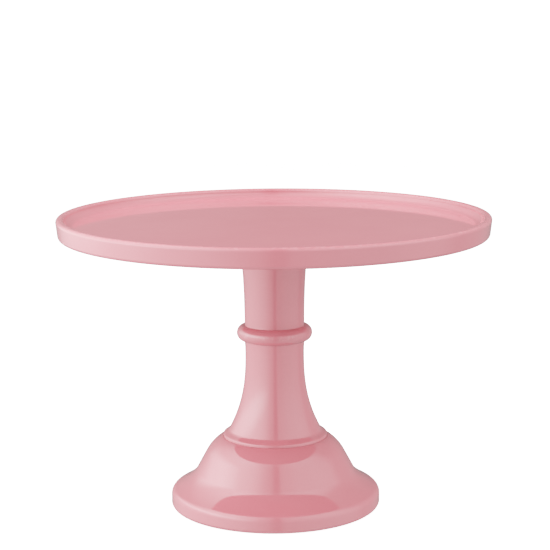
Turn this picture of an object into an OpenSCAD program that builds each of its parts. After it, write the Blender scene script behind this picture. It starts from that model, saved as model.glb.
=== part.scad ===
// Pedestal cake stand: a rimmed plate that screws off a flared stem and bell foot.
// Millimetres, +Z up. The origin is on the table, at the centre of the foot.

/* [Plate] */
// Radius over the rim
plate_r = 143; // [130:1:155]
// Height of the rim's top edge above the table
plate_top_z = 197; // [195:1:205]
// Height of the rim, outside
rim_h = 13; // [12:0.5:18]
// Thickness of the rim at its rounded top
rim_t = 5.4; // [4.4:0.1:7]
// Depth of the well, from the rim's top down to the floor
well_depth = 6.5; // [5:0.5:8]
// Thickness of the floor
floor_t = 4; // [3:0.5:4.5]

/* [Stem] */
// Radius of the stem at its narrowest
neck_r = 19.6; // [18:0.2:22]
// Radius of the stem's bottom edge
stem_base_r = 34.9; // [34:0.1:36]
// Height of the joint between the stem and the plate's hub
stem_top_z = 170; // [168:0.5:172]
// Height of the round collar's middle
collar_z = 117.9; // [112:0.1:125]
// Radius of the collar's half-round section
collar_bead_r = 5.15; // [3:0.05:7]
// Wall thickness of the stem and the foot
wall_t = 4; // [3:0.5:5]

/* [Foot] */
// Radius of the foot at its lip
foot_r = 70.2; // [66:0.2:76]
// Height of the foot's lip
lip_h = 12.8; // [11:0.1:14]
// Height of the seat that the stem stands on
seat_z = 47.2; // [46:0.1:47.5]
// How far the non-slip ring stands below the foot
ring_proud = 0.3; // [0.2:0.1:1]

/* [Fasteners] */
// Thread diameter of the tie bolt
thread_d = 8; // [7:0.5:8]
// Radial clearance of the thread in the plate's insert
thread_fit = 0.05; // [0.02:0.01:0.08]
// Length of the bolt under its head
bolt_len = 150; // [148:0.5:150]
// Width across the flats of the bolt's head and the nut
hex_af = 13; // [12:0.5:14]

/* [Hidden] */
$fn = 96;
arc_steps = 8;
curve_steps = 14;
eps = 0.01;

pink = [0.90, 0.62, 0.66];
silicone = [0.93, 0.93, 0.91];
brass = [0.80, 0.66, 0.34];
zinc = [0.74, 0.75, 0.77];
nylon = [0.95, 0.95, 0.98];

// Plate levels
floor_z = plate_top_z - well_depth;
under_z = floor_z - floor_t;
skirt_z = plate_top_z - rim_h;
gasket_proud = 0.8;
hub_z = stem_top_z + gasket_proud;
hub_r = 22;
hub_fillet = 7;
rim_edge_r = 2.1;
skirt_edge_r = 2.5;
rim_draft = 1;

// Stem levels
flare_top_z = 104;
flare_rise = 12.3;
flare_span = 54;
flare_power = 2.5;
toe_z = 52;
toe_edge_r = 1.4;
toe_angle = 50;
toe_break = 0.12;
head_z = 124;
head_r = neck_r + 0.3;
head_gain = 1.15;
head_span = 36;
head_power = 2.2;
web_t = 5;
recess_depth = 11;
recess_r = 12.5;
web_top_z = stem_top_z - recess_depth;
web_low_z = web_top_z - web_t;
bore_r = neck_r - wall_t;

// Foot levels
foot_low_z = ring_proud;
lip_top_r = 5;
lip_low_r = 2.6;
lip_end_angle = 62;
rim_in_r = foot_r - 8.2;
bell_low = [foot_r - 16.9, lip_h + 10.8];
bell_high = [foot_r - 23.6, seat_z - 11.2];
seat_edge = [stem_base_r + 0.3, seat_z];
spigot_r = 27.1;
spigot_h = 3;
boss_r = 13;
boss_z = seat_z - 8;
foot_web_z = seat_z - web_t;

// Gaskets
gasket_in_r = 16;
gasket_w = 3.6;
gasket_groove = 1;
gasket_fit = 0.05;
ring_in_r = foot_r - 7.2;
ring_w = 4;
ring_depth = 1.5;

// Fasteners
thread_r = thread_d / 2 - thread_fit;
hole_r = thread_d / 2 + 0.4;
washer_r = thread_d;
washer_t = 1.6;
lock_washer_r = 7.4;
lock_washer_t = 2;
lock_washer_gap = 1.2;
head_h = 5.3;
nut_h = 5.6;
nut_total_h = 8;
bolt_washer_z = boss_z - washer_t;
lock_washer_z = bolt_washer_z - lock_washer_t;
bolt_tip_z = lock_washer_z + bolt_len;
nut_z = web_top_z + washer_t;
insert_r = 7;
insert_bore_top = bolt_tip_z + 0.8;
insert_top_z = insert_bore_top + 1.2;

// Points on an arc about c, from angle a0 to angle a1
function arc(c, r, a0, a1) =
    [for (i = [0 : arc_steps]) let (a = a0 + (a1 - a0) * i / arc_steps)
        [c[0] + r * cos(a), c[1] + r * sin(a)]];

// Points on a cubic curve from p to s, pulled towards q and r on the way
function curve(p, q, r, s) =
    [for (i = [0 : curve_steps]) let (t = i / curve_steps, u = 1 - t)
        u * u * u * p + 3 * u * u * t * q + 3 * u * t * t * r + t * t * t * s];

// The stem's flare: its radius and slope at height z, below the neck
function flare(z) = neck_r + flare_rise * pow((flare_top_z - z) / flare_span, flare_power);
function flare_slope(z) =
    flare_rise * flare_power / flare_span * pow((flare_top_z - z) / flare_span, flare_power - 1);

// Inside of the flare, one wall thickness in, measured square to the surface
function flare_inside(z) = flare(z) - wall_t * sqrt(1 + pow(flare_slope(z), 2));

// The stem's radius above the collar
function head(z) = head_r + head_gain * pow(max(z - head_z, 0) / head_span, head_power);

// Heights from a to b in n equal steps
function steps(a, b, n) = [for (i = [0 : n]) a + (b - a) * i / n];

// A closed ring between two radii and two heights, with its four edges broken
module ring(r_in, r_out, z_low, z_high, edge = 0.2) {
    rotate_extrude()
        polygon([
            [r_in + edge, z_low], [r_out - edge, z_low], [r_out, z_low + edge],
            [r_out, z_high - edge], [r_out - edge, z_high], [r_in + edge, z_high],
            [r_in, z_high - edge], [r_in, z_low + edge]
        ]);
}

// A hexagonal block with both faces turned to a 30 degree chamfer at the corners
module hex_block(z_low, h) {
    corner_r = hex_af / sqrt(3);
    flat_r = hex_af / 2;
    drop = (corner_r - flat_r) * tan(30);
    intersection() {
        translate([0, 0, z_low])
            cylinder(r = corner_r, h = h, $fn = 6);
        rotate_extrude()
            polygon([
                [0, z_low], [flat_r * 0.97, z_low], [corner_r + eps, z_low + drop],
                [corner_r + eps, z_low + h - drop], [flat_r * 0.97, z_low + h], [0, z_low + h]
            ]);
    }
}

// Plate: floor, raised rim, shallow skirt below and the hub that meets the stem
module plate() {
    rim_in_x = plate_r - rim_t;
    edge_z = plate_top_z - rim_edge_r;
    skirt_x = plate_r - rim_draft - skirt_edge_r;
    color(pink)
    rotate_extrude()
        polygon(concat(
            [[0, insert_top_z], [0, floor_z]],
            curve([rim_in_x - 7, floor_z], [rim_in_x - 3, floor_z],
                  [rim_in_x - 0.9, floor_z + 1.7], [rim_in_x, edge_z - 0.3]),
            arc([rim_in_x + rim_edge_r, edge_z], rim_edge_r, 180, 90),
            arc([plate_r - rim_edge_r, edge_z], rim_edge_r, 90, 0),
            arc([skirt_x, skirt_z + skirt_edge_r], skirt_edge_r, 0, -90),
            curve([rim_in_x - 2, skirt_z], [rim_in_x - 4.5, skirt_z],
                  [rim_in_x - 4.5, under_z], [rim_in_x - 8, under_z]),
            curve([hub_r + hub_fillet * 1.6, under_z], [hub_r + hub_fillet * 0.5, under_z],
                  [hub_r + 1, under_z - hub_fillet * 0.4], [hub_r + 0.4, under_z - hub_fillet]),
            arc([hub_r - 0.8, hub_z + 0.8], 0.8, 0, -90),
            [
                [gasket_in_r + gasket_w, hub_z], [gasket_in_r + gasket_w, hub_z + gasket_groove],
                [gasket_in_r, hub_z + gasket_groove], [gasket_in_r, hub_z]
            ],
            insert_outline()
        ));
}

// Outside of the threaded insert, with two grooves that hold it in the hub
function insert_outline() = [
    [insert_r, hub_z],
    [insert_r, hub_z + 4], [insert_r - 0.8, hub_z + 4.6],
    [insert_r - 0.8, hub_z + 6], [insert_r, hub_z + 6.6],
    [insert_r, hub_z + 9], [insert_r - 0.8, hub_z + 9.6],
    [insert_r - 0.8, hub_z + 11], [insert_r, hub_z + 11.6],
    [insert_r, insert_top_z]
];

// Blind threaded insert moulded into the plate's hub
module plate_insert() {
    mouth = 0.6;
    color(brass)
    rotate_extrude()
        polygon(concat(
            [[0, insert_top_z], [0, insert_bore_top], [thread_d / 2, insert_bore_top],
             [thread_d / 2, hub_z + mouth], [thread_d / 2 + mouth, hub_z]],
            insert_outline()
        ));
}

// Soft ring in the hub's groove, squeezed between the plate and the stem
module gasket() {
    color(silicone)
    ring(gasket_in_r + gasket_fit, gasket_in_r + gasket_w - gasket_fit,
         stem_top_z, hub_z + gasket_groove);
}

// Hollow stem: flared base, collar, web near the top and a recess for the nut
module stem() {
    toe_c = [stem_base_r - toe_edge_r, seat_z + 1];
    toe_end = toe_c + toe_edge_r * [cos(toe_angle), sin(toe_angle)];
    top_r = head(stem_top_z);
    color(pink)
    rotate_extrude()
        polygon(concat(
            [[flare_inside(seat_z), seat_z],
             [stem_base_r - toe_break, seat_z], [stem_base_r, seat_z + toe_break]],
            arc(toe_c, toe_edge_r, 0, toe_angle),
            curve(toe_end, toe_end + 1.3 * [-sin(toe_angle), cos(toe_angle)],
                  [flare(toe_z) + flare_slope(toe_z) * 1.2, toe_z - 1.2],
                  [flare(toe_z), toe_z]),
            [for (z = steps(toe_z + 1, flare_top_z, 36)) [flare(z), z]],
            [[neck_r + 0.05, flare_top_z + 4]],
            arc([head_r + 0.1, collar_z], collar_bead_r, -90, 90),
            [for (z = steps(head_z, stem_top_z - 1, 18)) [head(z), z]],
            arc([top_r - 0.7, stem_top_z - 0.7], 0.7, 0, 90),
            [[recess_r, stem_top_z], [recess_r, web_top_z], [hole_r, web_top_z],
             [hole_r, web_low_z], [bore_r - 4, web_low_z]],
            arc([bore_r - 4, web_low_z - 4], 4, 90, 0),
            [for (z = steps(flare_top_z, seat_z, 24)) [flare_inside(z), z]]
        ));
}

// Bell foot: lip, concave sweep, straight side and shoulder, open underneath
module foot() {
    bell_dir = (bell_high - bell_low) / norm(bell_high - bell_low);
    inward = wall_t * [-bell_dir[1], bell_dir[0]];
    lip_c = [foot_r - lip_top_r, lip_h - lip_top_r];
    lip_end = lip_c + lip_top_r * [cos(lip_end_angle), sin(lip_end_angle)];
    lip_dir = [-sin(lip_end_angle), cos(lip_end_angle)];
    in_low = bell_low + inward;
    in_high = bell_high + inward;
    color(pink)
    difference() {
        rotate_extrude()
            polygon(concat(
                arc([foot_r - lip_low_r, foot_low_z + lip_low_r], lip_low_r, -90, 0),
                arc(lip_c, lip_top_r, 0, lip_end_angle),
                curve(lip_end, lip_end + 5 * lip_dir, bell_low - 5 * bell_dir, bell_low),
                curve(bell_high, bell_high + 5.6 * bell_dir, seat_edge + [4, -1.7], seat_edge),
                [[spigot_r, seat_z],
                 [spigot_r, seat_z + spigot_h - 0.4], [spigot_r - 0.4, seat_z + spigot_h],
                 [spigot_r - 4, seat_z + spigot_h], [spigot_r - 5, seat_z],
                 [hole_r, seat_z], [hole_r, boss_z], [boss_r - 0.5, boss_z],
                 [boss_r, boss_z + 0.5], [boss_r + 1, foot_web_z]],
                curve([in_high[0] - 10, foot_web_z], [in_high[0] - 4, foot_web_z],
                      in_high + 3.4 * bell_dir, in_high),
                curve(in_low, in_low - 5 * bell_dir,
                      [rim_in_r - 1.2, lip_h], [rim_in_r - 0.5, foot_low_z + 5]),
                [[rim_in_r, foot_low_z + 0.5], [rim_in_r + 0.5, foot_low_z]]
            ));
        rotate_extrude()
            polygon([
                [ring_in_r, foot_low_z - 1], [ring_in_r + ring_w, foot_low_z - 1],
                [ring_in_r + ring_w, foot_low_z + ring_depth], [ring_in_r, foot_low_z + ring_depth]
            ]);
    }
}

// Non-slip ring pressed into the groove under the foot's lip
module foot_ring() {
    color(silicone)
    ring(ring_in_r, ring_in_r + ring_w, 0, foot_low_z + ring_depth, edge = 0.25);
}

// Long hexagon bolt up through the foot and the stem; its tip carries the plate
module tie_bolt() {
    tip_chamfer = 1;
    color(zinc)
    union() {
        hex_block(lock_washer_z - head_h, head_h);
        rotate_extrude()
            polygon([
                [0, lock_washer_z - 1], [thread_r, lock_washer_z - 1],
                [thread_r, bolt_tip_z - tip_chamfer], [thread_r - tip_chamfer, bolt_tip_z],
                [0, bolt_tip_z]
            ]);
    }
}

// Split spring washer between the bolt's head and the flat washer
module bolt_lock_washer() {
    color(zinc)
    difference() {
        ring(thread_d / 2 + 0.1, lock_washer_r, lock_washer_z, bolt_washer_z, edge = 0.15);
        rotate([0, 0, 30])
            translate([lock_washer_r - 2, 0, lock_washer_z + lock_washer_t / 2])
                rotate([20, 0, 0])
                    cube([6, lock_washer_gap, lock_washer_t * 3], center = true);
    }
}

// Flat washer under the foot's boss
module bolt_washer() {
    color(zinc)
    ring(hole_r, washer_r, bolt_washer_z, boss_z);
}

// Flat washer on the stem's web
module stem_washer() {
    color(zinc)
    ring(hole_r, washer_r, web_top_z, nut_z);
}

// Lock nut that clamps the stem to the foot: hexagon below, round crown above
module stem_nut() {
    crown_r = 5.9;
    crown_z = nut_z + nut_total_h;
    color(zinc)
    difference() {
        union() {
            hex_block(nut_z, nut_h);
            rotate_extrude()
                polygon(concat(
                    [[0, nut_z + nut_h - 1], [crown_r, nut_z + nut_h - 1]],
                    arc([crown_r - 1.2, crown_z - 1.2], 1.2, 0, 90),
                    [[0, crown_z]]
                ));
        }
        translate([0, 0, nut_z - eps])
            cylinder(r = thread_r, h = nut_total_h + 2 * eps);
        rotate_extrude()
            polygon(lock_ring_outline());
    }
}

// Section of the seat for the lock ring, open upwards inside the nut's crown
function lock_ring_outline() =
    let (low = nut_z + nut_h, high = nut_z + nut_total_h - 0.5)
    [[thread_r - eps, low], [5.1, low], [5.1, high], [thread_r - eps, high]];

// Nylon ring inside the nut's crown that grips the thread
module nut_lock_ring() {
    low = nut_z + nut_h;
    high = nut_z + nut_total_h - 0.5;
    color(nylon)
    rotate_extrude()
        polygon([[thread_r, low], [5.1, low], [5.1, high], [thread_r, high]]);
}

plate();
plate_insert();
gasket();
stem();
stem_nut();
nut_lock_ring();
stem_washer();
foot();
foot_ring();
tie_bolt();
bolt_lock_washer();
bolt_washer();
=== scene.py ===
"""Pedestal cake stand in glossy pink melamine: a rimmed plate on a flared stem and a bell foot.

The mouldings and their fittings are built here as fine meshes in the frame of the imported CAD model.
Profiles are in millimetres, as (radius, height) points turned about the Z axis.
"""

import math

import bmesh
import bpy
from mathutils import Euler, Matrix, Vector


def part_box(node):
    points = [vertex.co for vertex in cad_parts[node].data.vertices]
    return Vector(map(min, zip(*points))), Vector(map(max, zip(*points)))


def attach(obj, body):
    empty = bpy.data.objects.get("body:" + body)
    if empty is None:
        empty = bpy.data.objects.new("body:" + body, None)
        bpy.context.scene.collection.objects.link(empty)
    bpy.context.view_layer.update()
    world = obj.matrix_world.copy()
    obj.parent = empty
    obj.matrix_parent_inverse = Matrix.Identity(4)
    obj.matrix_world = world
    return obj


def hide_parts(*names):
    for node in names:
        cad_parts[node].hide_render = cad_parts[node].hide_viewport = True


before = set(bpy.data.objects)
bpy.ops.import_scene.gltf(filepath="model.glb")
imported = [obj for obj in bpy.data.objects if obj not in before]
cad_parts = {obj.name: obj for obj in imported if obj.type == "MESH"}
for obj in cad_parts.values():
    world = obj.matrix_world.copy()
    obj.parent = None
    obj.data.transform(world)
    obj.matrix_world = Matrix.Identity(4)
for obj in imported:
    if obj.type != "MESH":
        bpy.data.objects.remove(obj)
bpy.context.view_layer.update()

MM = 0.001
TURN = 2 * math.pi
SEGMENTS = 240
SMALL_SEGMENTS = 96
SHARP_ANGLE = math.radians(32)


# ---- sizes, from the frame ----

def low(node):
    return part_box(node)[0] / MM


def high(node):
    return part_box(node)[1] / MM


PLATE_R = high("plate").x
PLATE_TOP = high("plate").z
HUB_Z = low("plate").z
STEM_BASE_R = high("stem").x
STEM_TOP = high("stem").z
SEAT_Z = low("stem").z
FOOT_R = high("foot").x
FOOT_LOW = low("foot").z
SPIGOT_TOP = high("foot").z
RING_OUT_R = high("foot_ring").x
RING_TOP = high("foot_ring").z
GASKET_R = high("gasket").x
GASKET_TOP = high("gasket").z
INSERT_R = high("plate_insert").x
INSERT_TOP = high("plate_insert").z
WASHER_R = high("bolt_washer").x
BOSS_Z = high("bolt_washer").z
BOLT_WASHER_Z = low("bolt_washer").z
LOCK_WASHER_R = high("bolt_lock_washer").x
LOCK_WASHER_Z = low("bolt_lock_washer").z
HEAD_LOW = low("tie_bolt").z
BOLT_TIP = high("tie_bolt").z
WEB_TOP = low("stem_washer").z
NUT_Z = low("stem_nut").z
NUT_TOP = high("stem_nut").z

# Plate
RIM_T = 5.4
WELL_DEPTH = 6.5
FLOOR_T = 4
RIM_H = 13
RIM_DRAFT = 1
RIM_EDGE_R = 2.1
SKIRT_EDGE_R = 2.5
HUB_R = 22
HUB_FILLET = 7
FLOOR_Z = PLATE_TOP - WELL_DEPTH
UNDER_Z = FLOOR_Z - FLOOR_T
SKIRT_Z = PLATE_TOP - RIM_H

# Stem
NECK_R = 19.6
COLLAR_Z = 117.9
COLLAR_BEAD_R = 5.15
WALL_T = 4
FLARE_TOP = 104
FLARE_RISE = 12.3
FLARE_SPAN = 54
FLARE_POWER = 2.5
TOE_Z = 52
TOE_EDGE_R = 1.4
TOE_ANGLE = math.radians(50)
TOE_BREAK = 0.12
TOE_LOW_PULL = 1.3
TOE_HIGH_PULL = 1.2
HEAD_Z = 124
HEAD_R = NECK_R + 0.3
HEAD_GAIN = 1.15
HEAD_SPAN = 36
HEAD_POWER = 2.2
WEB_T = 5
RECESS_R = 12.5
HOLE_R = 4.4

# Foot
LIP_H = 12.8
LIP_TOP_R = 5
LIP_LOW_R = 2.6
LIP_END = math.radians(62)
RIM_IN_R = FOOT_R - 8.2
SPIGOT_R = 27.1
BOSS_R = 13
RING_W = 4
RING_GROOVE = 1.5

# Fasteners
THREAD_R = 3.95
ROOT_R = 3.35
BORE_R = 4
PITCH = 1.25
THREAD_LEN = 28
HEX_AF = 13
NUT_HEX_H = 5.6
LOCK_GAP = 1.2


# ---- profiles ----

def arc(c, r, a0, a1, n=16):
    """Points about c from angle a0 to a1, in radians."""
    return [
        (c[0] + r * math.cos(a0 + (a1 - a0) * i / n), c[1] + r * math.sin(a0 + (a1 - a0) * i / n))
        for i in range(n + 1)
    ]


def curve(p, q, r, s, n=28):
    """Points on a cubic curve from p to s, pulled towards q and r on the way."""
    points = []
    for i in range(n + 1):
        t = i / n
        u = 1 - t
        w = (u * u * u, 3 * u * u * t, 3 * u * t * t, t * t * t)
        points.append(tuple(sum(k * v[a] for k, v in zip(w, (p, q, r, s))) for a in (0, 1)))
    return points


def steps(a, b, n):
    return [a + (b - a) * i / n for i in range(n + 1)]


def evened(profile, longest=2.5, near=0.2):
    """The closed profile with its long straight runs divided, and a point close to each of their ends."""
    clean = []
    for p in profile:
        if not clean or math.dist(p, clean[-1]) > 1e-4:
            clean.append(p)
    if math.dist(clean[0], clean[-1]) < 1e-4:
        clean.pop()
    points = []
    for i, a in enumerate(clean):
        b = clean[(i + 1) % len(clean)]
        points.append(a)
        length = math.dist(a, b)
        if length <= longest or (a[0] == 0 and b[0] == 0):
            continue
        count = math.ceil((length - 2 * near) / longest)
        stops = [near + (length - 2 * near) * k / count for k in range(count + 1)]
        points += [
            (a[0] + (b[0] - a[0]) * s / length, a[1] + (b[1] - a[1]) * s / length) for s in stops
        ]
    return points


def flare(z):
    """The stem's radius at height z, below the neck."""
    return NECK_R + FLARE_RISE * max((FLARE_TOP - z) / FLARE_SPAN, 0) ** FLARE_POWER


def flare_slope(z):
    t = max((FLARE_TOP - z) / FLARE_SPAN, 0)
    return FLARE_RISE * FLARE_POWER / FLARE_SPAN * t ** (FLARE_POWER - 1)


def flare_inside(z):
    return flare(z) - WALL_T * math.sqrt(1 + flare_slope(z) ** 2)


def head(z):
    """The stem's radius above the collar."""
    return HEAD_R + HEAD_GAIN * (max(z - HEAD_Z, 0) / HEAD_SPAN) ** HEAD_POWER


# ---- meshes ----

def add_rings(bm, rings, closed=True):
    """Skins a list of rings, each a list of points, in order. A ring of one point is a pole."""
    rows = [[bm.verts.new(Vector(p) * MM) for p in ring] for ring in rings]
    pairs = list(zip(rows, rows[1:]))
    if closed:
        pairs.append((rows[-1], rows[0]))
    for a, b in pairs:
        n = max(len(a), len(b))
        if n == 1:
            continue
        for i in range(n):
            j = (i + 1) % n
            if len(a) == 1:
                corners = (a[0], b[j], b[i])
            elif len(b) == 1:
                corners = (a[i], a[j], b[0])
            else:
                corners = (a[i], a[j], b[j], b[i])
            bm.faces.new(corners)


def turned(profile, segments):
    """Rings made by turning a profile about the Z axis."""
    rings = []
    for r, z in profile:
        if r < 1e-6:
            rings.append([(0, 0, z)])
            continue
        angles = [TURN * k / segments for k in range(segments)]
        rings.append([(r * math.cos(a), r * math.sin(a), z) for a in angles])
    return rings


def finished(bm, name):
    """The mesh as an object: outward normals, smooth faces, and sharp edges where it really turns."""
    bmesh.ops.recalc_face_normals(bm, faces=bm.faces)
    for face in bm.faces:
        face.smooth = True
    for edge in bm.edges:
        edge.smooth = len(edge.link_faces) == 2 and edge.calc_face_angle(0) < SHARP_ANGLE
    mesh = bpy.data.meshes.new(name)
    bm.to_mesh(mesh)
    bm.free()
    obj = bpy.data.objects.new(name, mesh)
    bpy.context.collection.objects.link(obj)
    return obj


def lathe(name, profile, segments=SEGMENTS):
    bm = bmesh.new()
    add_rings(bm, turned(evened(profile), segments))
    return finished(bm, name)


def ring_profile(r_in, r_out, z_low, z_high, edge):
    """A rectangle with its four corners rounded."""
    quarter = math.pi / 2
    return (
        arc((r_out - edge, z_low + edge), edge, -quarter, 0, 6)
        + arc((r_out - edge, z_high - edge), edge, 0, quarter, 6)
        + arc((r_in + edge, z_high - edge), edge, quarter, 2 * quarter, 6)
        + arc((r_in + edge, z_low + edge), edge, 2 * quarter, 3 * quarter, 6)
    )


def hex_rings(z_low, z_high, segments=SMALL_SEGMENTS):
    """Outside of a hexagon with both ends turned to a 30 degree chamfer at its rounded corners."""
    flat = HEX_AF / 2
    inner = flat * 0.96
    corner = flat / math.cos(math.pi / 6) - 0.12
    angles = [TURN * k / segments for k in range(segments)]
    radii = [min(flat / math.cos((a % (math.pi / 3)) - math.pi / 6), corner) for a in angles]
    drops = [max(r - inner, 0) * math.tan(math.pi / 6) for r in radii]

    def row(shrink, z_of):
        return [
            ((r - shrink) * math.cos(a), (r - shrink) * math.sin(a), z_of(d))
            for a, r, d in zip(angles, radii, drops)
        ]

    soft = 0.12
    return [
        [(inner * math.cos(a), inner * math.sin(a), z_low) for a in angles],
        row(soft, lambda d: z_low + d * 0.8),
        row(0, lambda d: z_low + d + soft),
        row(0, lambda d: z_high - d - soft),
        row(soft, lambda d: z_high - d * 0.8),
        [(inner * math.cos(a), inner * math.sin(a), z_high) for a in angles],
    ]


def add_thread(bm, z_low, z_high, root_r, crest_r, segments=72):
    """A helical ridge with its ends run out to nothing. Its root sits just inside root_r."""
    count = int((z_high - z_low - PITCH) / PITCH * segments)
    sink = 0.08 if crest_r > root_r else -0.08
    half_root, half_crest = PITCH * 0.46, PITCH * 0.08
    sections = []
    for s in range(count + 1):
        angle = TURN * s / segments
        z = z_low + PITCH / 2 + PITCH * s / segments
        fade = min(1, s / (segments / 2), (count - s) / (segments / 2))
        fade = max(fade, 0.02)
        top = root_r + (crest_r - root_r) * fade
        corners = [
            (root_r - sink, z - half_root), (top, z - half_crest * fade),
            (top, z + half_crest * fade), (root_r - sink, z + half_root),
        ]
        sections.append([
            bm.verts.new(Vector((r * math.cos(angle), r * math.sin(angle), h)) * MM)
            for r, h in corners
        ])
    for a, b in zip(sections, sections[1:]):
        for i in range(4):
            j = (i + 1) % 4
            bm.faces.new((a[i], a[j], b[j], b[i]))
    bm.faces.new(sections[0])
    bm.faces.new(sections[-1][::-1])


# ---- the mouldings ----

def insert_outline():
    """Outside of the threaded insert, with two grooves that hold it in the hub."""
    points = [(INSERT_R, HUB_Z)]
    for start in (4, 9):
        points += [
            (INSERT_R, HUB_Z + start), (INSERT_R - 0.8, HUB_Z + start + 0.6),
            (INSERT_R - 0.8, HUB_Z + start + 2), (INSERT_R, HUB_Z + start + 2.6),
        ]
    return points + [(INSERT_R, INSERT_TOP)]


def make_plate():
    rim_in = PLATE_R - RIM_T
    edge_z = PLATE_TOP - RIM_EDGE_R
    skirt_x = PLATE_R - RIM_DRAFT - SKIRT_EDGE_R
    groove_out = GASKET_R + 0.05
    groove_in = groove_out - 3.6
    quarter = math.pi / 2
    return lathe("plate_body", (
        [(0, INSERT_TOP), (0, FLOOR_Z)]
        + curve((rim_in - 7, FLOOR_Z), (rim_in - 3, FLOOR_Z),
                (rim_in - 0.9, FLOOR_Z + 1.7), (rim_in, edge_z - 0.3))
        + arc((rim_in + RIM_EDGE_R, edge_z), RIM_EDGE_R, 2 * quarter, quarter)
        + arc((PLATE_R - RIM_EDGE_R, edge_z), RIM_EDGE_R, quarter, 0)
        + arc((skirt_x, SKIRT_Z + SKIRT_EDGE_R), SKIRT_EDGE_R, 0, -quarter)
        + curve((rim_in - 2, SKIRT_Z), (rim_in - 4.5, SKIRT_Z),
                (rim_in - 4.5, UNDER_Z), (rim_in - 8, UNDER_Z))
        + curve((HUB_R + HUB_FILLET * 1.6, UNDER_Z), (HUB_R + HUB_FILLET * 0.5, UNDER_Z),
                (HUB_R + 1, UNDER_Z - HUB_FILLET * 0.4), (HUB_R + 0.4, UNDER_Z - HUB_FILLET))
        + arc((HUB_R - 0.8, HUB_Z + 0.8), 0.8, 0, -quarter, 8)
        + [(groove_out, HUB_Z), (groove_out, HUB_Z + 1), (groove_in, HUB_Z + 1), (groove_in, HUB_Z)]
        + insert_outline()
    ))


def make_stem():
    toe_c = (STEM_BASE_R - TOE_EDGE_R, SEAT_Z + 1)
    toe_end = (toe_c[0] + TOE_EDGE_R * math.cos(TOE_ANGLE), toe_c[1] + TOE_EDGE_R * math.sin(TOE_ANGLE))
    toe_low = (toe_end[0] - TOE_LOW_PULL * math.sin(TOE_ANGLE),
               toe_end[1] + TOE_LOW_PULL * math.cos(TOE_ANGLE))
    toe_high = (flare(TOE_Z) + flare_slope(TOE_Z) * TOE_HIGH_PULL, TOE_Z - TOE_HIGH_PULL)
    top_r = head(STEM_TOP)
    web_low = WEB_TOP - WEB_T
    bore_r = NECK_R - WALL_T
    quarter = math.pi / 2
    return lathe("stem_body", (
        [(flare_inside(SEAT_Z), SEAT_Z), (STEM_BASE_R - TOE_BREAK, SEAT_Z),
         (STEM_BASE_R, SEAT_Z + TOE_BREAK)]
        + arc(toe_c, TOE_EDGE_R, 0, TOE_ANGLE, 10)
        + curve(toe_end, toe_low, toe_high, (flare(TOE_Z), TOE_Z))
        + [(flare(z), z) for z in steps(TOE_Z + 0.5, FLARE_TOP, 60)]
        + [(NECK_R + 0.05, FLARE_TOP + 4)]
        + arc((HEAD_R + 0.1, COLLAR_Z), COLLAR_BEAD_R, -quarter, quarter, 36)
        + [(head(z), z) for z in steps(HEAD_Z, STEM_TOP - 1, 24)]
        + arc((top_r - 0.7, STEM_TOP - 0.7), 0.7, 0, quarter, 8)
        + [(RECESS_R, STEM_TOP), (RECESS_R, WEB_TOP), (HOLE_R, WEB_TOP),
           (HOLE_R, web_low), (bore_r - 4, web_low)]
        + arc((bore_r - 4, web_low - 4), 4, quarter, 0, 10)
        + [(flare_inside(z), z) for z in steps(FLARE_TOP, SEAT_Z, 40)]
    ))


def make_foot():
    bell_low = Vector((FOOT_R - 16.9, LIP_H + 10.8))
    bell_high = Vector((FOOT_R - 23.6, SEAT_Z - 11.2))
    bell_dir = (bell_high - bell_low).normalized()
    inward = WALL_T * Vector((-bell_dir.y, bell_dir.x))
    in_low, in_high = bell_low + inward, bell_high + inward
    lip_c = (FOOT_R - LIP_TOP_R, LIP_H - LIP_TOP_R)
    lip_end = Vector((lip_c[0] + LIP_TOP_R * math.cos(LIP_END), lip_c[1] + LIP_TOP_R * math.sin(LIP_END)))
    lip_dir = Vector((-math.sin(LIP_END), math.cos(LIP_END)))
    seat_edge = (STEM_BASE_R + 0.3, SEAT_Z)
    web_z = SEAT_Z - WEB_T
    groove_in = RING_OUT_R - RING_W
    quarter = math.pi / 2
    return lathe("foot_body", (
        arc((FOOT_R - LIP_LOW_R, FOOT_LOW + LIP_LOW_R), LIP_LOW_R, -quarter, 0)
        + arc(lip_c, LIP_TOP_R, 0, LIP_END)
        + curve(lip_end, lip_end + 5 * lip_dir, bell_low - 5 * bell_dir, bell_low, 36)
        + curve(bell_high, bell_high + 5.6 * bell_dir, (seat_edge[0] + 4, SEAT_Z - 1.7), seat_edge, 36)
        + [(SPIGOT_R, SEAT_Z), (SPIGOT_R, SPIGOT_TOP - 0.4), (SPIGOT_R - 0.4, SPIGOT_TOP),
           (SPIGOT_R - 4, SPIGOT_TOP), (SPIGOT_R - 5, SEAT_Z), (HOLE_R, SEAT_Z), (HOLE_R, BOSS_Z),
           (BOSS_R - 0.5, BOSS_Z), (BOSS_R, BOSS_Z + 0.5), (BOSS_R + 1, web_z)]
        + curve((in_high.x - 10, web_z), (in_high.x - 4, web_z), in_high + 3.4 * bell_dir, in_high)
        + curve(in_low, in_low - 5 * bell_dir, (RIM_IN_R - 1.2, LIP_H), (RIM_IN_R - 0.5, FOOT_LOW + 5))
        + [(RIM_IN_R, FOOT_LOW + 0.5), (RIM_IN_R + 0.5, FOOT_LOW),
           (groove_in, FOOT_LOW), (groove_in, FOOT_LOW + RING_GROOVE),
           (RING_OUT_R, FOOT_LOW + RING_GROOVE), (RING_OUT_R, FOOT_LOW)]
    ))


# ---- soft rings ----

def make_gasket():
    return lathe("gasket_ring", ring_profile(GASKET_R - 3.5, GASKET_R, STEM_TOP, GASKET_TOP, 0.45))


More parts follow.
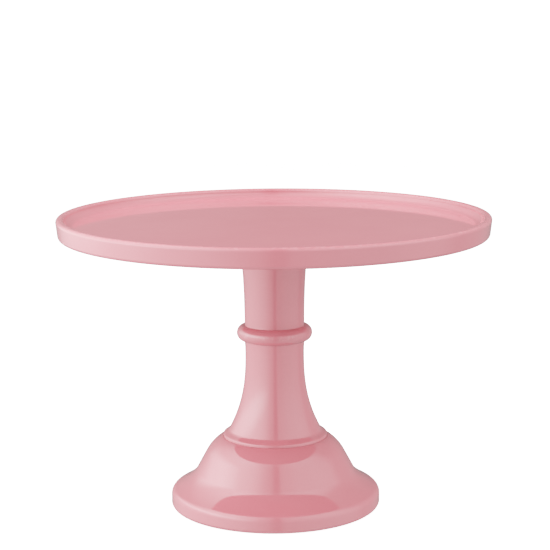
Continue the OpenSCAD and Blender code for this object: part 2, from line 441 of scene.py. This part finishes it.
def make_foot_ring():
    """Non-slip ring with three grip ribs on its underside."""
    r_in = RING_OUT_R - RING_W
    ribs, valley, edge = 3, 0.22, 0.2
    under = []
    for i in range(49):
        t = i / 48
        height = valley * 0.5 * (1 + math.cos(TURN * ribs * t))
        under.append((r_in + edge + (RING_W - 2 * edge) * t, height))
    return lathe("foot_grip_ring", (
        under
        + [(RING_OUT_R, valley + edge), (RING_OUT_R, RING_TOP - edge), (RING_OUT_R - edge, RING_TOP),
           (r_in + edge, RING_TOP), (r_in, RING_TOP - edge), (r_in, valley + edge)]
    ))


# ---- fittings ----

def make_insert():
    """Blind threaded insert, its bore cut with a helical groove outside the bolt's thread."""
    bore_top = INSERT_TOP - 1.2
    wall_r, mouth = BORE_R + 0.42, 0.6
    bm = bmesh.new()
    profile = (
        [(0, INSERT_TOP), (0, bore_top), (wall_r, bore_top), (wall_r, HUB_Z + mouth * 0.7),
         (wall_r + mouth * 0.6, HUB_Z)]
        + insert_outline()
    )
    add_rings(bm, turned(evened(profile, 1.5), SMALL_SEGMENTS))
    add_thread(bm, HUB_Z + 0.3, bore_top - 0.2, wall_r, BORE_R)
    return finished(bm, "threaded_insert")


def make_bolt():
    """Hexagon bolt: chamfered head with a washer face, plain shank, rolled thread and pointed tip."""
    seat = LOCK_WASHER_Z
    thread_low = BOLT_TIP - THREAD_LEN
    face_r = HEX_AF / 2 - 0.5
    bm = bmesh.new()
    add_rings(bm, [[(0, 0, HEAD_LOW)]] + hex_rings(HEAD_LOW, seat - 0.3) + [[(0, 0, seat - 0.3)]], False)
    quarter = math.pi / 2
    shank = (
        [(0, seat - 0.6), (face_r, seat - 0.6), (face_r, seat), (THREAD_R, seat), (THREAD_R, thread_low)]
        + [(ROOT_R, thread_low + 0.9), (ROOT_R, BOLT_TIP - 0.7)]
        + arc((ROOT_R - 0.7, BOLT_TIP - 0.7), 0.7, 0, quarter, 6)
        + [(0, BOLT_TIP)]
    )
    add_rings(bm, turned(evened(shank, 4), SMALL_SEGMENTS))
    add_thread(bm, thread_low, BOLT_TIP - 0.3, ROOT_R, THREAD_R)
    return finished(bm, "hex_bolt")


def make_nut():
    """Lock nut: chamfered hexagon below and a rolled crown over the nylon ring."""
    crown_r, crown_wall = 5.9, 0.8
    lip_r = 4.6
    quarter = math.pi / 2
    hex_top = NUT_Z + NUT_HEX_H
    bm = bmesh.new()
    ring_seat = [
        (crown_r, hex_top - 0.4), (crown_r, NUT_TOP - 1.2)
    ] + arc((crown_r - 1.2, NUT_TOP - 1.2), 1.2, 0, quarter, 10) + [
        (lip_r, NUT_TOP), (lip_r, NUT_TOP - 0.5), (crown_r - crown_wall, NUT_TOP - 0.5),
        (crown_r - crown_wall, hex_top), (THREAD_R, hex_top), (THREAD_R, NUT_Z),
    ]
    rows = turned([(THREAD_R, NUT_Z)], SMALL_SEGMENTS) + hex_rings(NUT_Z, hex_top)
    rows += turned(ring_seat[:-1], SMALL_SEGMENTS)
    add_rings(bm, rows)
    return finished(bm, "lock_nut")


def make_lock_ring():
    hex_top = NUT_Z + NUT_HEX_H
    return lathe("nylon_ring", ring_profile(THREAD_R, 5.1, hex_top, NUT_TOP - 0.5, 0.25), SMALL_SEGMENTS)


def make_washer(name, z_low, z_high):
    """Stamped flat washer, one edge rounded over by the punch."""
    quarter = math.pi / 2
    profile = (
        [(HOLE_R + 0.15, z_low), (WASHER_R - 0.1, z_low), (WASHER_R, z_low + 0.1)]
        + arc((WASHER_R - 0.35, z_high - 0.35), 0.35, 0, quarter, 8)
        + arc((HOLE_R + 0.3, z_high - 0.3), 0.3, quarter, 2 * quarter, 8)
        + [(HOLE_R, z_low + 0.15)]
    )
    return lathe(name, profile, SMALL_SEGMENTS)


def make_lock_washer():
    """Split spring washer, its ends cut on a slant."""
    z_mid = (LOCK_WASHER_Z + BOLT_WASHER_Z) / 2
    section = ring_profile(BORE_R + 0.1, LOCK_WASHER_R, LOCK_WASHER_Z, BOLT_WASHER_Z, 0.18)
    gap_turn = math.radians(30)
    slant = math.tan(math.radians(20))
    count = 120
    bm = bmesh.new()
    rows = []
    for s in range(count + 1):
        row = []
        for r, z in section:
            half = (LOCK_GAP / 2) / r
            lean = (z - z_mid) * slant / r
            start, end = gap_turn + half - lean, gap_turn + TURN - half - lean
            a = start + (end - start) * s / count
            row.append(bm.verts.new(Vector((r * math.cos(a), r * math.sin(a), z)) * MM))
        rows.append(row)
    for a, b in zip(rows, rows[1:]):
        for i in range(len(a)):
            j = (i + 1) % len(a)
            bm.faces.new((a[i], a[j], b[j], b[i]))
    bm.faces.new(rows[0][::-1])
    bm.faces.new(rows[-1])
    return finished(bm, "spring_washer")


# ---- materials ----

class Shader:
    """A Principled material and the few nodes that pattern it, in object coordinates."""

    def __init__(self, name, **sockets):
        self.material = bpy.data.materials.new(name)
        self.material.use_nodes = True
        self.tree = self.material.node_tree
        self.main = self.tree.nodes["Principled BSDF"]
        for socket, value in sockets.items():
            self.main.inputs[socket.replace("_", " ")].default_value = value
        self.place = self.tree.nodes.new("ShaderNodeTexCoord").outputs["Object"]

    def link(self, a, b):
        self.tree.links.new(a, b)

    def node(self, kind, inputs=(), **settings):
        made = self.tree.nodes.new(kind)
        for key, value in settings.items():
            setattr(made, key, value)
        for key, value in dict(inputs).items():
            if isinstance(value, bpy.types.NodeSocket):
                self.link(value, made.inputs[key])
            else:
                made.inputs[key].default_value = value
        return made

    def noise(self, size, detail=3, roughness=0.5, stretch=(1, 1, 1), turn=0):
        """Noise whose blobs are about size metres across."""
        where = self.node("ShaderNodeMapping", {
            "Vector": self.place, "Scale": [k / size for k in stretch], "Rotation": (0, 0, turn),
        }).outputs["Vector"]
        return self.node("ShaderNodeTexNoise", {
            "Vector": where, "Scale": 1, "Detail": detail, "Roughness": roughness,
        }).outputs["Fac"]

    def ranged(self, value, from_low, from_high, to_low, to_high):
        return self.node("ShaderNodeMapRange", {
            "Value": value, "From Min": from_low, "From Max": from_high,
            "To Min": to_low, "To Max": to_high,
        }).outputs["Result"]

    def math(self, operation, a, b):
        made = self.node("ShaderNodeMath", operation=operation)
        for i, value in enumerate((a, b)):
            if isinstance(value, bpy.types.NodeSocket):
                self.link(value, made.inputs[i])
            else:
                made.inputs[i].default_value = value
        return made.outputs[0]

    def mixed(self, factor, a, b):
        made = self.node("ShaderNodeMix", data_type="RGBA")
        for i, value in ((0, factor), (6, a), (7, b)):
            if isinstance(value, bpy.types.NodeSocket):
                self.link(value, made.inputs[i])
            else:
                made.inputs[i].default_value = value
        return made.outputs[2]

    def height(self):
        """The Z coordinate, in metres."""
        return self.node("ShaderNodeSeparateXYZ", {"Vector": self.place}).outputs["Z"]

    def set(self, socket, value):
        self.link(value, self.main.inputs[socket])

    def bump(self, height, distance, strength=1.0):
        made = self.node("ShaderNodeBump", {
            "Height": height, "Distance": distance, "Strength": strength,
        })
        self.link(made.outputs["Normal"], self.main.inputs["Normal"])


def rgb(r, g, b):
    return (r, g, b, 1)


MELAMINE = rgb(0.645, 0.193, 0.222)
MELAMINE_PALE = rgb(0.675, 0.210, 0.238)


def melamine(name, scuff_low, scuff_high):
    """Glossy moulded melamine. It is scuffed between two heights, where it is handled or stood."""
    m = Shader(name, IOR=1.9)
    cloud = m.noise(0.045, 4, 0.55)
    grain = m.noise(0.0016, 2)
    tone = m.math("ADD", m.ranged(cloud, 0.3, 0.7, 0, 0.75), m.ranged(grain, 0.35, 0.65, 0, 0.25))
    colour = m.mixed(tone, MELAMINE, MELAMINE_PALE)
    hairs = m.math(
        "MAXIMUM",
        m.noise(0.0006, 2, stretch=(1, 0.03, 1), turn=0.5),
        m.noise(0.0006, 2, stretch=(0.03, 1, 1), turn=-0.3),
    )
    hair_mask = m.ranged(hairs, 0.66, 0.74, 0, 1)
    z = m.height()
    band = m.math("MULTIPLY",
                  m.ranged(z, scuff_low, scuff_low + 0.001, 0, 1),
                  m.ranged(z, scuff_high, scuff_high + 0.0012, 1, 0))
    worn = m.math("MULTIPLY", band, m.ranged(m.noise(0.004, 5, 0.65), 0.5, 0.62, 0, 1))
    colour = m.mixed(m.math("MULTIPLY", worn, 0.18), colour, rgb(0.80, 0.42, 0.44))
    m.set("Base Color", colour)
    rough = m.math("ADD", m.ranged(m.noise(0.02, 4, 0.6), 0.3, 0.7, 0.045, 0.085),
                   m.math("MULTIPLY", hair_mask, 0.012))
    m.set("Roughness", m.math("ADD", rough, m.math("MULTIPLY", worn, 0.10)))
    peel = m.math("ADD", m.math("MULTIPLY", m.noise(0.006, 2), 0.4), m.math("MULTIPLY", grain, 0.07))
    m.bump(m.math("SUBTRACT", peel, m.math("MULTIPLY", worn, 0.12)), 0.000008, 1.0)
    return m.material


def silicone_rubber():
    m = Shader("silicone", IOR=1.41, Subsurface_Weight=0.25, Subsurface_Scale=0.002)
    dust = m.ranged(m.noise(0.0012, 4, 0.7), 0.55, 0.7, 0, 0.35)
    cloud = m.mixed(m.noise(0.02, 3), rgb(0.83, 0.82, 0.78), rgb(0.90, 0.89, 0.86))
    m.set("Base Color", m.mixed(dust, cloud, rgb(0.62, 0.60, 0.57)))
    m.set("Roughness", m.ranged(m.noise(0.006, 4), 0.3, 0.7, 0.42, 0.62))
    m.bump(m.math("ADD", m.noise(0.0005, 3), m.noise(0.004, 2)), 0.00004, 1.0)
    return m.material


def machined_metal(name, pale, dark, tint, rough_low, rough_high, ring_pitch):
    """Turned or plated metal: faint tool rings, dull patches and dark stains scattered at random."""
    m = Shader(name, Metallic=1.0)
    patch = m.ranged(m.noise(0.006, 5, 0.62), 0.35, 0.68, 0, 1)
    stain = m.ranged(m.noise(0.0022, 5, 0.7), 0.52, 0.66, 0, 0.6)
    m.set("Base Color", m.mixed(stain, m.mixed(patch, pale, tint), dark))
    speck = m.noise(0.0007, 3)
    m.set("Roughness", m.math("ADD", m.ranged(patch, 0, 1, rough_low, rough_high),
                              m.math("MULTIPLY", speck, 0.10)))
    rings = m.noise(ring_pitch, 2, stretch=(0.02, 0.02, 1))
    m.bump(m.math("ADD", rings, m.math("MULTIPLY", speck, 0.5)), 0.00002, 1.0)
    return m.material


def nylon_polymer():
    m = Shader("nylon", IOR=1.53, Subsurface_Weight=0.2, Subsurface_Scale=0.001)
    m.set("Base Color", m.mixed(m.noise(0.002, 4), rgb(0.60, 0.68, 0.80), rgb(0.72, 0.78, 0.86)))
    m.set("Roughness", m.ranged(m.noise(0.001, 3), 0.3, 0.7, 0.35, 0.55))
    m.bump(m.noise(0.0006, 3), 0.00003, 1.0)
    return m.material


# ---- the object ----

def placed(obj, material, node, body):
    obj.data.materials.append(material)
    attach(obj, body)
    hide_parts(node)


plate_pink = melamine("melamine_plate", (PLATE_TOP - 1.4) * MM, PLATE_TOP * MM)
stem_pink = melamine("melamine_stem", (COLLAR_Z - 1.5) * MM, (COLLAR_Z + 1.5) * MM)
foot_pink = melamine("melamine_foot", -0.002, 0.0022)
silicone = silicone_rubber()
brass = machined_metal("brass", rgb(0.82, 0.62, 0.26), rgb(0.42, 0.27, 0.11),
                       rgb(0.74, 0.53, 0.22), 0.20, 0.36, 0.0005)
zinc = machined_metal("zinc_steel", rgb(0.74, 0.75, 0.77), rgb(0.42, 0.42, 0.43),
                      rgb(0.62, 0.64, 0.68), 0.24, 0.40, 0.0006)
nylon = nylon_polymer()

placed(make_plate(), plate_pink, "plate", "plate")
placed(make_insert(), brass, "plate_insert", "plate")
placed(make_gasket(), silicone, "gasket", "seal")
placed(make_stem(), stem_pink, "stem", "pedestal")
placed(make_foot(), foot_pink, "foot", "pedestal")
placed(make_foot_ring(), silicone, "foot_ring", "pedestal")
placed(make_bolt(), zinc, "tie_bolt", "pedestal")
placed(make_nut(), zinc, "stem_nut", "pedestal")
placed(make_lock_ring(), nylon, "nut_lock_ring", "pedestal")
placed(make_washer("stem_flat_washer", WEB_TOP, NUT_Z),
       zinc, "stem_washer", "pedestal")
placed(make_washer("foot_flat_washer", BOLT_WASHER_Z, BOSS_Z),
       zinc, "bolt_washer", "pedestal")
placed(make_lock_washer(), zinc, "bolt_lock_washer", "pedestal")


# ---- studio ----

def make_floor(half=2.2):
    """A white table seen by the camera alone, so that the studio light stays even. Clear from below."""
    bm = bmesh.new()
    corners = [(-half, -half), (half, -half), (half, half), (-half, half)]
    bm.faces.new([bm.verts.new((x, y, 0)) for x, y in corners])
    mesh = bpy.data.meshes.new("studio_floor")
    bm.to_mesh(mesh)
    bm.free()
    obj = bpy.data.objects.new("studio_floor", mesh)
    bpy.context.collection.objects.link(obj)
    sheet = Shader("floor_white", Base_Color=rgb(0.9, 0.9, 0.9), Roughness=0.08, IOR=1.30,
                   Emission_Color=rgb(1, 1, 1), Emission_Strength=FLOOR_GLOW)
    under = sheet.node("ShaderNodeNewGeometry").outputs["Backfacing"]
    seen = sheet.node("ShaderNodeMixShader", {
        0: under, 1: sheet.main.outputs[0], 2: sheet.node("ShaderNodeBsdfTransparent").outputs[0],
    })
    sheet.link(seen.outputs[0], sheet.tree.nodes["Material Output"].inputs["Surface"])
    obj.data.materials.append(sheet.material)
    obj.visible_diffuse = False
    obj.visible_glossy = False
    obj.visible_shadow = False


def stops(tree, value, low, high, levels):
    """Brightness read from a few (position, level) stops between low and high."""
    peak = max(v for _, v in levels)
    place = tree.nodes.new("ShaderNodeMapRange")
    place.inputs["From Min"].default_value = low
    place.inputs["From Max"].default_value = high
    tree.links.new(value, place.inputs["Value"])
    ramp = tree.nodes.new("ShaderNodeValToRGB")
    elements = ramp.color_ramp.elements
    while len(elements) > 1:
        elements.remove(elements[-1])
    for i, (at, v) in enumerate(levels):
        spot = elements[0] if i == 0 else elements.new((at - low) / (high - low))
        spot.position = (at - low) / (high - low)
        spot.color = (v / peak, v / peak, v / peak, 1)
    tree.links.new(place.outputs["Result"], ramp.inputs["Fac"])
    scale = tree.nodes.new("ShaderNodeMath")
    scale.operation = "MULTIPLY"
    scale.inputs[1].default_value = peak
    tree.links.new(ramp.outputs["Color"], scale.inputs[0])
    return scale.outputs[0]


def studio_light():
    """Two soft walls of light, the left one brighter, with a dim gap between them behind the camera."""
    world = bpy.data.worlds.new("studio")
    world.use_nodes = True
    bpy.context.scene.world = world
    tree = world.node_tree

    def op(operation, a, b=0):
        made = tree.nodes.new("ShaderNodeMath")
        made.operation = operation
        for i, value in enumerate((a, b)):
            if isinstance(value, bpy.types.NodeSocket):
                tree.links.new(value, made.inputs[i])
            else:
                made.inputs[i].default_value = value
        return made.outputs[0]

    direction = tree.nodes.new("ShaderNodeSeparateXYZ")
    tree.links.new(tree.nodes.new("ShaderNodeTexCoord").outputs["Generated"], direction.inputs[0])
    x, y, z = direction.outputs
    around = op("DEGREES", op("ARCTAN2", x, op("MULTIPLY", y, -1)))
    up = op("DEGREES", op("ARCSINE", z))
    light = op("MULTIPLY", stops(tree, around, -180, 180, AMBIENT_AROUND),
               stops(tree, up, -90, 90, AMBIENT_UP))
    for wall_around, wall_up in ((LEFT_AROUND, LEFT_UP), (RIGHT_AROUND, RIGHT_UP)):
        wall = op("MULTIPLY", stops(tree, around, -180, 180, wall_around),
                  stops(tree, up, -90, 90, wall_up))
        light = op("ADD", light, wall)
    rays = tree.nodes.new("ShaderNodeLightPath").outputs["Is Camera Ray"]
    strength = op("ADD", op("MULTIPLY", rays, BACKGROUND), op("MULTIPLY", light, op("SUBTRACT", 1, rays)))
    tree.links.new(strength, tree.nodes["Background"].inputs["Strength"])
    tree.nodes["Background"].inputs["Color"].default_value = (1, 1, 1, 1)


FLOOR_GLOW = 1.7
BACKGROUND = 3.0

# Brightness of the light by direction: degrees round from the camera, and degrees above the horizon
AMBIENT_UP = [(-90, 0.80), (-45, 0.34), (-15, 0.30), (5, 0.26), (35, 0.22), (90, 0.50)]
AMBIENT_AROUND = [(-180, 0.45), (-145, 1), (145, 1), (180, 0.45)]
LEFT_AROUND = [(-180, 0.04), (-140, 0.55), (-112, 0.9), (-60, 1.1), (-38, 1.15), (-22, 0.95),
               (-8, 0.5), (-1, 0), (170, 0), (180, 0.04)]
LEFT_UP = [(-90, 0), (-40, 0.45), (-10, 0.8), (20, 1.0), (62, 1.0), (90, 0)]
RIGHT_AROUND = [(-180, 0.04), (-170, 0), (5, 0), (10, 0.6), (40, 1.0), (72, 1.1), (96, 0.85),
                (112, 0.35), (180, 0.04)]
RIGHT_UP = [(-90, 0), (-40, 0.45), (-10, 0.65), (5, 0.85), (20, 1.0), (56, 1.05), (68, 0.2), (90, 0)]

# The core of the left wall is a softbox close to the object: its brightness along Y and up Z, in metres
CORE_X = -0.45
CORE_ALONG = [(-1.3, 0), (-0.67, 0.45), (-0.43, 0.78), (-0.18, 1.1), (0.0, 1.0), (0.3, 0.5), (0.6, 0)]
CORE_UP = [(-0.5, 0), (0.02, 0.55), (0.08, 0.9), (0.14, 2.0), (0.22, 2.0), (0.34, 1.0), (0.8, 1.0),
           (1.5, 0)]

FILL_AIM = (0, 0, 0.1)

# Fill light that the glossy surfaces do not mirror: place, size and brightness
FILLS = {
    "fill_above": ((0, 0.1, 1.3), 1.5, 1.9),
    "fill_right": ((1.1, 0.35, 0.35), 0.9, 2.0),
}


def make_core():
    """An upright sheet of light, brightest in the middle, that the camera does not see."""
    bm = bmesh.new()
    corners = [(y, z) for y, z in (
        (CORE_ALONG[0][0], CORE_UP[0][0]), (CORE_ALONG[-1][0], CORE_UP[0][0]),
        (CORE_ALONG[-1][0], CORE_UP[-1][0]), (CORE_ALONG[0][0], CORE_UP[-1][0]))]
    bm.faces.new([bm.verts.new((CORE_X, y, z)) for y, z in corners])
    mesh = bpy.data.meshes.new("softbox")
    bm.to_mesh(mesh)
    bm.free()
    obj = bpy.data.objects.new("softbox", mesh)
    bpy.context.collection.objects.link(obj)
    sheet = Shader("softbox_light")
    place = sheet.node("ShaderNodeSeparateXYZ", {"Vector": sheet.place}).outputs
    along = stops(sheet.tree, place["Y"], CORE_ALONG[0][0], CORE_ALONG[-1][0], CORE_ALONG)
    up = stops(sheet.tree, place["Z"], CORE_UP[0][0], CORE_UP[-1][0], CORE_UP)
    glow = sheet.node("ShaderNodeEmission", {"Strength": sheet.math("MULTIPLY", along, up)})
    clear = sheet.node("ShaderNodeBsdfTransparent")
    both = sheet.node("ShaderNodeAddShader", {0: glow.outputs[0], 1: clear.outputs[0]})
    sheet.link(both.outputs[0], sheet.tree.nodes["Material Output"].inputs["Surface"])
    obj.data.materials.append(sheet.material)
    obj.visible_camera = False
    obj.visible_shadow = False


def make_fills():
    for name, (place, size, light) in FILLS.items():
        lamp = bpy.data.lights.new(name, "AREA")
        lamp.size = size
        lamp.energy = light * math.pi * size * size
        obj = bpy.data.objects.new(name, lamp)
        obj.location = place
        obj.rotation_euler = (Vector(FILL_AIM) - Vector(place)).to_track_quat("-Z", "Y").to_euler()
        obj.visible_camera = False
        obj.visible_glossy = False
        bpy.context.collection.objects.link(obj)


make_core()
make_fills()
studio_light()
make_floor()

CAMERA_PLACE = (0.0, -1.100, 0.34856)
CAMERA_PITCH = 0.17296
CAMERA_YAW = -0.0005
CAMERA_ROLL = 0.0065
LENS = 110.17

lens = bpy.data.cameras.new("camera")
lens.lens = LENS
lens.sensor_width = 36
camera = bpy.data.objects.new("camera", lens)
camera.location = CAMERA_PLACE
tilt = Euler((math.pi / 2 - CAMERA_PITCH, 0, CAMERA_YAW)).to_matrix()
camera.rotation_euler = (tilt @ Euler((0, 0, -CAMERA_ROLL)).to_matrix()).to_euler()
bpy.context.collection.objects.link(camera)
bpy.context.scene.camera = camera

# Film response: straight up to the middle tones, then rolled off so that bright pinks keep their colour
FILM_WHITE = 2.2
FILM_STOPS = [(0.6, 0.6), (0.8, 0.70), (1.02, 0.78), (1.5, 0.91)]
film = bpy.context.scene.view_settings
film.view_transform = "Standard"
film.use_curve_mapping = True
film.curve_mapping.white_level = (FILM_WHITE, FILM_WHITE, FILM_WHITE)
for at, value in FILM_STOPS:
    film.curve_mapping.curves[3].points.new(at / FILM_WHITE, value)
film.curve_mapping.update()
